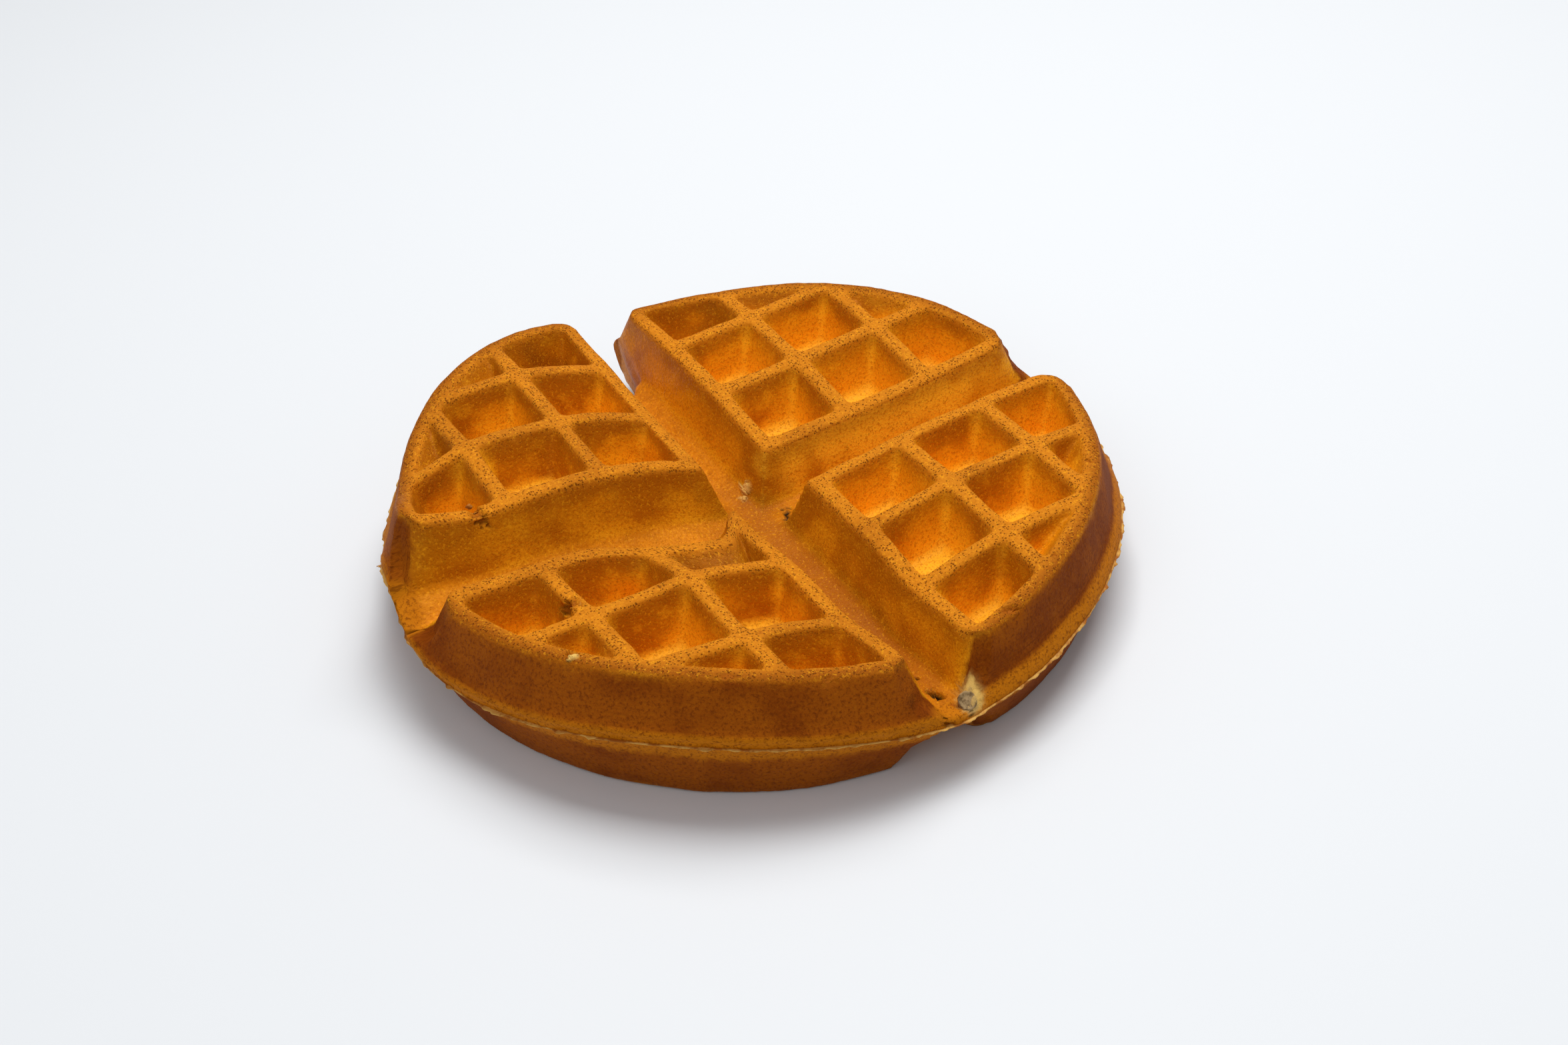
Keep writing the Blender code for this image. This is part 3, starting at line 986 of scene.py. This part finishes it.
@dataclass
class PressedDisc:
    """The small round mark with a raised edge, at the end of the channel."""

    sag: Sag = field(default_factory=Sag)
    spot: tuple[float, float, float] = (86.1, 3.9, 3.0)
    facing: tuple[float, float, float] = (0.62, -0.12, 0.77)
    half_height: float = 15.0
    outline: tuple = (
        (2.0, -1.2), (2.1, 0.0), (2.0, 0.22), (1.75, 0.28), (1.5, 0.12),
        (1.2, 0.0), (0.7, 0.02), (0.35, 0.12), (0.1, 0.14),
    )

    def build(self) -> bpy.types.Object:
        """Models the disc, turned to face outward and up.

        Returns:
            The disc.
        """
        disc = turned(list(self.outline), 40, "pressed_disc")
        turn = Vector(self.facing).to_track_quat("Z", "Y").to_matrix().to_4x4()
        place(disc, turn)
        spots = points_of(disc.data)
        spots = spots * (1 + 0.12 * roughness_of(spots, 1.2, 2, 6.1))[:, None]
        set_points(disc.data, spots + self.sag.place(np.array([self.spot]), self.half_height)[0])
        disc.data.shade_smooth()
        return disc


@dataclass
class Crumbs:
    """Small baked crumbs that stick to the crust. Each has a place in mould millimetres and a size."""

    sag: Sag = field(default_factory=Sag)
    half_height: float = 15.0
    places: tuple = (
        (-11.3, 4.3, 2.7, 1.0),
        (-9.4, 2.6, 2.5, 0.6),
        (45.4, -67.0, 14.0, 0.8),
        (46.6, -65.6, 14.6, 0.45),
        (-12.8, -65.4, 14.4, 0.7),
    )

    def build(self) -> bpy.types.Object:
        """Models the crumbs as uneven little balls.

        Returns:
            All the crumbs as one piece.
        """
        made = []
        for x, y, z, size in self.places:
            bpy.ops.mesh.primitive_ico_sphere_add(subdivisions=3, radius=size * MM)
            crumb = bpy.context.object
            spots = points_of(crumb.data)
            spots = spots * (1 + 0.7 * roughness_of(spots + (x, y, z), 0.9, 3, 2.2))[:, None]
            spots[:, 2] *= 0.7
            spot = self.sag.place(np.array([[x, y, z]]), self.half_height)[0]
            set_points(crumb.data, spots + spot)
            made.append(crumb)
        crumbs = join(made, "crumbs")
        crumbs.data.shade_smooth()
        return crumbs


class NodeSheet:
    """A short way to write shader nodes."""

    def __init__(self, tree: bpy.types.NodeTree) -> None:
        """Starts on one node tree."""
        self.tree = tree

    def add(self, kind: str, **settings: object) -> bpy.types.Node:
        """Adds a node and sets its properties.

        Args:
            kind: the node's type name.
            **settings: properties of the node.

        Returns:
            The node.
        """
        made = self.tree.nodes.new(kind)
        for name, value in settings.items():
            setattr(made, name, value)
        return made

    def wire(self, value: object, socket: bpy.types.NodeSocket) -> None:
        """Links a socket, or sets a plain value.

        Args:
            value: an output socket, a number or a colour.
            socket: the input that takes it.
        """
        if isinstance(value, bpy.types.NodeSocket):
            self.tree.links.new(value, socket)
        else:
            socket.default_value = value

    def math(
        self, operation: str, a: object, b: object = 0.0, c: object = 0.0, clamp: bool = False
    ) -> bpy.types.NodeSocket:
        """Adds a Math node.

        Args:
            operation: its operation.
            a: the first value.
            b: the second value.
            c: the third value, which MULTIPLY_ADD adds.
            clamp: whether the result is kept between 0 and 1.

        Returns:
            The result.
        """
        made = self.add("ShaderNodeMath", operation=operation, use_clamp=clamp)
        for value, socket in zip((a, b, c), made.inputs):
            self.wire(value, socket)
        return made.outputs[0]

    def ramp(self, value: object, low: float, high: float) -> bpy.types.NodeSocket:
        """Maps a value smoothly from low..high to 0..1.

        Args:
            value: what is mapped.
            low: the value that gives 0.
            high: the value that gives 1.

        Returns:
            The mapped value.
        """
        made = self.add("ShaderNodeMapRange", interpolation_type="SMOOTHSTEP")
        self.wire(value, made.inputs["Value"])
        made.inputs["From Min"].default_value = low
        made.inputs["From Max"].default_value = high
        return made.outputs["Result"]

    def noise(
        self, vector: object, size: float, detail: float = 2.0, rough: float = 0.5
    ) -> bpy.types.NodeSocket:
        """Adds a noise texture.

        Args:
            vector: where it is read.
            size: the size of its lumps, in millimetres.
            detail: how many finer layers it has.
            rough: how strong they are.

        Returns:
            The noise, about 0.5 on average.
        """
        made = self.add("ShaderNodeTexNoise")
        self.wire(vector, made.inputs["Vector"])
        made.inputs["Scale"].default_value = 1.0 / (size * MM)
        made.inputs["Detail"].default_value = detail
        made.inputs["Roughness"].default_value = rough
        return made.outputs["Fac"]

    def blend(self, share: object, a: object, b: object) -> bpy.types.NodeSocket:
        """Mixes two colours.

        Args:
            share: how much of the second.
            a: the first colour.
            b: the second colour.

        Returns:
            The mixed colour.
        """
        made = self.add("ShaderNodeMix", data_type="RGBA")
        self.wire(share, made.inputs["Factor"])
        self.wire(a, made.inputs[6])
        self.wire(b, made.inputs[7])
        return made.outputs[2]

    def tint(self, colour: object, tone: object, share: object, most: object) -> bpy.types.NodeSocket:
        """Mixes a tone into a colour.

        Args:
            colour: the colour so far.
            tone: the colour that is mixed in.
            share: where it is mixed in, from 0 to 1.
            most: how much of it at most, a number or another mask.

        Returns:
            The mixed colour.
        """
        return self.blend(self.math("MULTIPLY", share, most), colour, tone)

    def mask(self, name: str) -> bpy.types.NodeSocket:
        """Reads a number that the mesh carries."""
        return self.add("ShaderNodeAttribute", attribute_name=name).outputs["Fac"]

    def place(self, name: str) -> bpy.types.NodeSocket:
        """Reads a position that the mesh carries."""
        return self.add("ShaderNodeAttribute", attribute_name=name).outputs["Vector"]


def effect_group(name: str, inputs: dict[str, float], outputs: tuple[str, ...]) -> tuple:
    """Starts a shader node group that reads a vector and some numbers and puts out masks.

    Args:
        name: the group's name.
        inputs: its numbers and their usual values.
        outputs: the names of its masks.

    Returns:
        The group, a sheet to write its nodes on, its input node and its output node.
    """
    group = bpy.data.node_groups.new(name, "ShaderNodeTree")
    group.interface.new_socket("Vector", in_out="INPUT", socket_type="NodeSocketVector")
    for label, value in inputs.items():
        socket = group.interface.new_socket(label, in_out="INPUT", socket_type="NodeSocketFloat")
        socket.default_value = value
    for label in outputs:
        group.interface.new_socket(label, in_out="OUTPUT", socket_type="NodeSocketFloat")
    sheet = NodeSheet(group)
    return group, sheet, sheet.add("NodeGroupInput"), sheet.add("NodeGroupOutput")


def pore_group() -> bpy.types.NodeTree:
    """Fine round pores of uneven size, sizes in millimetres."""
    group, sheet, start, end = effect_group("crust_pores", {"Size": 0.6, "Amount": 0.5}, ("Pores",))
    scale = sheet.math("DIVIDE", 1.0 / MM, start.outputs["Size"])
    cells = sheet.add("ShaderNodeTexVoronoi", feature="F1")
    sheet.wire(start.outputs["Vector"], cells.inputs["Vector"])
    sheet.wire(scale, cells.inputs["Scale"])
    chosen = sheet.add("ShaderNodeSeparateColor")
    sheet.wire(cells.outputs["Color"], chosen.inputs["Color"])
    present = sheet.math("LESS_THAN", chosen.outputs["Red"], start.outputs["Amount"])
    reach = sheet.math("MULTIPLY_ADD", chosen.outputs["Green"], 0.35, 0.12)
    inside = sheet.math("SUBTRACT", reach, cells.outputs["Distance"])
    sheet.wire(sheet.math("MULTIPLY", sheet.ramp(inside, -0.05, 0.12), present), end.inputs["Pores"])
    return group


@dataclass(frozen=True)
class Crust:
    """Golden-brown baked crust: colours are linear, sizes are in millimetres."""

    rib: tuple = (0.60, 0.19, 0.008, 1)
    rib_dark: tuple = (0.38, 0.105, 0.004, 1)
    wall: tuple = (0.78, 0.27, 0.004, 1)
    wall_dark: tuple = (0.48, 0.140, 0.002, 1)
    wall_light: tuple = (0.97, 0.42, 0.010, 1)
    # Pale wall colour: paler crumb, together with painted light for light bounced across the channel.
    pale_and_lit_wall: tuple = (0.99, 0.46, 0.018, 1)
    floor: tuple = (0.95, 0.44, 0.020, 1)
    # Dark brown for the dark places: browner crust in some, painted shade in others.
    dark_brown_and_shade: tuple = (0.20, 0.048, 0.002, 1)
    channel: tuple = (0.66, 0.215, 0.005, 1)
    channel_brown: tuple = (0.40, 0.108, 0.004, 1)
    # Outer wall colours: browned crust made darker as painted shade, for light shut off below and beside the
    # wall.
    outer: tuple = (0.21, 0.040, 0.0012, 1)
    outer_dark: tuple = (0.12, 0.020, 0.001, 1)
    outer_light: tuple = (0.30, 0.068, 0.002, 1)
    flange: tuple = (0.50, 0.150, 0.003, 1)
    rim_brown: tuple = (0.20, 0.038, 0.0015, 1)
    pore: tuple = (0.16, 0.030, 0.001, 1)
    pale: tuple = (0.80, 0.50, 0.13, 1)
    pit: tuple = (0.34, 0.085, 0.004, 1)
    # Near black: painted shade inside the holes and cracks.
    hole: tuple = (0.012, 0.004, 0.001, 1)
    grey: tuple = (0.30, 0.20, 0.10, 1)

    def material(self) -> bpy.types.Material:
        """Builds the crust's material.

        Returns:
            The material.
        """
        made = bpy.data.materials.new("waffle_crust")
        made.use_nodes = True
        sheet = NodeSheet(made.node_tree)
        shader = made.node_tree.nodes["Principled BSDF"]
        spot = sheet.place("mould")
        fine = sheet.noise(spot, 0.7, 3, 0.65)
        pores = sheet.add("ShaderNodeGroup", node_tree=pore_group())
        sheet.wire(spot, pores.inputs["Vector"])
        pores.inputs["Size"].default_value = 0.55
        pores.inputs["Amount"].default_value = 0.75
        colour = self._zones(sheet, spot)
        colour, pore_share = self._speckle(sheet, colour, fine, pores.outputs["Pores"])
        lines = self._lines(sheet, spot)
        # Painted shade: dark fine lines of the creases and striations on the outer wall.
        colour = sheet.tint(colour, self.pore, lines, 0.75)
        colour = self._flaw_colours(sheet, colour)
        sheet.wire(colour, shader.inputs["Base Color"])

        dull = sheet.math("MAXIMUM", sheet.mask("top"), sheet.mask("outer"))
        gloss = sheet.math("MULTIPLY_ADD", sheet.mask("floor"), -0.08, 0.36)
        sheet.wire(sheet.math("MULTIPLY_ADD", dull, 0.35, gloss), shader.inputs["Roughness"])
        shader.inputs["Specular IOR Level"].default_value = 0.09
        shader.inputs["Specular Tint"].default_value = (1.0, 0.72, 0.38, 1)
        height = sheet.math("MULTIPLY_ADD", fine, 0.6, sheet.math("MULTIPLY", pore_share, -1.0))
        relief = sheet.add("ShaderNodeBump")
        relief.inputs["Strength"].default_value = 0.9
        relief.inputs["Distance"].default_value = 0.45 * MM
        sheet.wire(height, relief.inputs["Height"])
        sheet.wire(relief.outputs["Normal"], shader.inputs["Normal"])
        return made

    def _zones(self, sheet: NodeSheet, spot: bpy.types.NodeSocket) -> bpy.types.NodeSocket:
        """Colours of rib tops, walls, floors, channels, outer wall and flange, with painted glow low on the
        walls and painted shade in the channels and on the outer wall.
        """
        large = sheet.mask("large")
        medium = sheet.mask("medium")
        deep = sheet.mask("depth")
        browned = sheet.math("MULTIPLY_ADD", sheet.ramp(deep, 0.55, 0.05), 0.19, large)
        wall = sheet.blend(sheet.ramp(browned, 0.42, 0.72), self.wall, self.wall_dark)
        # Painted light: walls lighter towards their floors and in the upright corners of the pockets. This is
        # painted glow for light that passes through the crumb and bounces between walls, together with paler
        # baking low down.
        glow = sheet.math("MAXIMUM", sheet.ramp(deep, 0.32, 0.92), sheet.mask("corner"))
        wall = sheet.tint(wall, self.wall_light, glow, sheet.ramp(large, 0.75, 0.35))
        wall = sheet.tint(wall, self.wall_light, sheet.ramp(medium, 0.5, 0.8), 0.4)
        # Painted shade: walls inside the channels darkened towards the dark wall colour.
        wall = sheet.tint(wall, self.wall_dark, sheet.mask("gully"), 0.35)
        # Painted light: the pale place on the channel wall, paler crumb with painted bounce light.
        wall = sheet.tint(wall, self.pale_and_lit_wall, sheet.mask("pale_and_lit_place"), 1.0)
        # The dark places darken the walls: browner crust in some places, painted shade at the rim tips and in
        # the fold.
        wall = sheet.tint(wall, self.dark_brown_and_shade, sheet.mask("brown_and_shaded_place"), 0.65)
        shoulder = sheet.math("MULTIPLY", sheet.ramp(deep, 0.03, 0.12), sheet.ramp(deep, 0.42, 0.14))
        wall = sheet.tint(wall, self.rib_dark, shoulder, 0.4)
        # Painted shade: the outer wall's base colours are kept dark for the shade beside and below it.
        outer = sheet.blend(sheet.ramp(large, 0.38, 0.66), self.outer, self.outer_light)
        outer = sheet.tint(outer, self.outer_light, sheet.ramp(medium, 0.5, 0.75), 0.5)
        rib = sheet.tint(self.rib, self.rib_dark, sheet.ramp(large, 0.5, 0.75), 0.5)
        rib = sheet.tint(rib, self.rim_brown, sheet.mask("rim"), 0.75)
        colour = sheet.blend(sheet.mask("outer"), wall, outer)
        colour = sheet.blend(sheet.mask("floor"), colour, self.floor)
        channel = sheet.blend(sheet.mask("brown_and_shaded_place"), self.channel, self.channel_brown)
        channel = sheet.tint(channel, self.wall_dark, sheet.ramp(medium, 0.45, 0.75), 0.6)
        colour = sheet.blend(sheet.mask("channel"), colour, channel)
        colour = sheet.blend(sheet.mask("flange"), colour, self.flange)
        return sheet.blend(sheet.mask("top"), colour, rib)

    def _speckle(
        self,
        sheet: NodeSheet,
        colour: bpy.types.NodeSocket,
        fine: bpy.types.NodeSocket,
        pores: bpy.types.NodeSocket,
    ) -> tuple[bpy.types.NodeSocket, bpy.types.NodeSocket]:
        """Adds fine light and dark grain and open pores.

        Args:
            sheet: where nodes are written.
            colour: the colour so far.
            fine: fine noise.
            pores: the mask of the pores.

        Returns:
            The colour, and how strongly the pores show.
        """
        dark = sheet.blend(sheet.mask("outer"), self.wall_dark, self.outer_dark)
        colour = sheet.tint(colour, dark, sheet.ramp(fine, 0.50, 0.66), 0.60)
        inside = sheet.math("SUBTRACT", 0.40, sheet.math("MULTIPLY", sheet.mask("outer"), 0.36))
        colour = sheet.tint(colour, self.wall_light, sheet.ramp(fine, 0.47, 0.32), inside)
        share = sheet.math("MULTIPLY", pores, sheet.math("MULTIPLY_ADD", sheet.mask("top"), 0.62, 0.14))
        return sheet.blend(share, colour, self.pore), share

    def _lines(self, sheet: NodeSheet, spot: bpy.types.NodeSocket) -> bpy.types.NodeSocket:
        """Fine level lines pressed into the outer wall: creases on one side, striations on the other, drawn
        only as dark colour, painted shade of the grooves.
        """
        height = sheet.add("ShaderNodeSeparateXYZ")
        sheet.wire(spot, height.inputs[0])
        wander = sheet.noise(spot, 9, 2)
        level = sheet.math("MULTIPLY_ADD", wander, 1.1 * MM, height.outputs["Z"])
        broken = sheet.ramp(sheet.noise(spot, 5, 2), 0.42, 0.58)
        lines = None
        for mask, heights, strength in (
            ("creases", (5.0, 6.5), 1.0),
            ("striae", (4.5, 5.6, 6.8, 8.3), 0.28),
        ):
            for line in heights:
                away = sheet.math("ABSOLUTE", sheet.math("SUBTRACT", level, line * MM))
                made = sheet.math("MULTIPLY", sheet.ramp(away, 0.22 * MM, 0.05 * MM), sheet.mask(mask))
                made = sheet.math("MULTIPLY", made, strength)
                lines = made if lines is None else sheet.math("MAXIMUM", lines, made)
        return sheet.math("MULTIPLY", lines, sheet.math("MULTIPLY_ADD", broken, 0.7, 0.3))

    def _flaw_colours(self, sheet: NodeSheet, colour: bpy.types.NodeSocket) -> bpy.types.NodeSocket:
        """Colours the flaws: holes darkened near black as painted shade, brown pits, pale shards, and the
        grey disc with its pale halo.
        """
        for name, share, flaw in (
            ("halo", 0.85, self.pale),
            ("disc", 0.5, self.grey),
            ("pit", 0.8, self.pit),
            ("shard", 0.9, self.pale),
            ("hole", 1.0, self.hole),
        ):
            colour = sheet.tint(colour, flaw, sheet.mask(name), share)
        return colour


@dataclass(frozen=True)
class PaleCrumb:
    """Pale baked batter, for the fringe and the crumbs."""

    light: tuple = (0.66, 0.36, 0.08, 1)
    brown: tuple = (0.36, 0.11, 0.010, 1)
    mottle_size: float = 4.0
    name: str = "pale_crumb"

    def material(self) -> bpy.types.Material:
        """Builds the material, mottled between pale and brown.

        Returns:
            The material.
        """
        made = bpy.data.materials.new(self.name)
        made.use_nodes = True
        sheet = NodeSheet(made.node_tree)
        shader = made.node_tree.nodes["Principled BSDF"]
        spot = sheet.add("ShaderNodeTexCoord").outputs["Object"]
        mottle = sheet.ramp(sheet.noise(spot, self.mottle_size, 3, 0.65), 0.42, 0.62)
        sheet.wire(sheet.blend(mottle, self.light, self.brown), shader.inputs["Base Color"])
        shader.inputs["Roughness"].default_value = 0.7
        shader.inputs["Specular IOR Level"].default_value = 0.16
        return made


@dataclass(frozen=True)
class PaleFloor:
    """Plain pale surface that the waffle lies on."""

    colour: tuple = (0.72, 0.735, 0.75, 1)
    size: float = 6.0

    def build(self) -> bpy.types.Object:
        """Adds the floor.

        Returns:
            The floor.
        """
        bpy.ops.mesh.primitive_plane_add(size=self.size, location=(0, 0, 0))
        floor = bpy.context.object
        floor.name = "floor"
        made = bpy.data.materials.new("pale_floor")
        made.use_nodes = True
        shader = made.node_tree.nodes["Principled BSDF"]
        shader.inputs["Base Color"].default_value = self.colour
        shader.inputs["Roughness"].default_value = 0.6
        floor.data.materials.append(made)
        return floor


@dataclass(frozen=True)
class Studio:
    """Camera and soft lights."""

    eye: tuple = (0.33315, -0.1763, 0.2919)
    heading: float = radians(151.11)
    pitch: float = radians(36.8)
    roll: float = radians(-2.99)
    photo_width: int = 2352
    focal_pixels: float = 2899.0
    sensor_mm: float = 36.0

    def add_camera(self) -> None:
        """Puts the camera where the photographer's was."""
        data = bpy.data.cameras.new("photo_camera")
        data.sensor_width = self.sensor_mm
        data.lens = self.focal_pixels * self.sensor_mm / self.photo_width
        data.clip_start = 0.01
        camera = bpy.data.objects.new("photo_camera", data)
        bpy.context.scene.collection.objects.link(camera)
        forward = Vector((
            cos(self.heading) * cos(self.pitch), sin(self.heading) * cos(self.pitch), -sin(self.pitch),
        ))
        look = forward.to_track_quat("-Z", "Y").to_matrix().to_4x4()
        turn = Matrix.Rotation(self.roll, 4, "Z")
        camera.matrix_world = Matrix.Translation(self.eye) @ look @ turn
        bpy.context.scene.camera = camera

    def add_lights(self) -> None:
        """Adds one large soft light overhead, a weaker one behind the camera, and a pale surround."""
        for name, spot, size, watts in (
            ("overhead", (-0.25, 0.30, 1.1), 0.8, 13.5),
            ("fill", (0.5, -0.7, 0.9), 1.0, 3.0),
        ):
            data = bpy.data.lights.new(name, "AREA")
            data.shape = "SQUARE"
            data.size = size
            data.energy = watts
            lamp = bpy.data.objects.new(name, data)
            bpy.context.scene.collection.objects.link(lamp)
            lamp.location = spot
            aim = Vector((0, 0, 0.02)) - Vector(spot)
            lamp.rotation_euler = aim.to_track_quat("-Z", "Y").to_euler()
        world = bpy.data.worlds.new("surround")
        world.use_nodes = True
        world.node_tree.nodes["Background"].inputs["Color"].default_value = (0.93, 0.96, 1.0, 1)
        world.node_tree.nodes["Background"].inputs["Strength"].default_value = 0.35
        bpy.context.scene.world = world
        bpy.context.scene.view_settings.view_transform = "Standard"


def main() -> None:
    """Builds the scene."""
    logging.basicConfig(level=logging.INFO, format="%(message)s")
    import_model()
    studio = Studio()
    studio.add_camera()
    studio.add_lights()
    PaleFloor().build()
    cake = WaffleCake().build()
    cake.data.materials.clear()
    cake.data.materials.append(Crust().material())
    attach(cake, BODY)
    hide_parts(NODE)
    pale = PaleCrumb().material()
    grey = PaleCrumb(GREY_LIGHT, GREY_DARK, 1.2, "grey_crumb").material()
    looks = ((FlashFringe().build(), pale), (Crumbs().build(), pale), (PressedDisc().build(), grey))
    for piece, look in looks:
        piece.data.materials.clear()
        piece.data.materials.append(look)
        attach(piece, BODY)
    LOG.info("%s: %d faces", cake.name, len(cake.data.polygons))


if __name__ == "__main__":
    main()
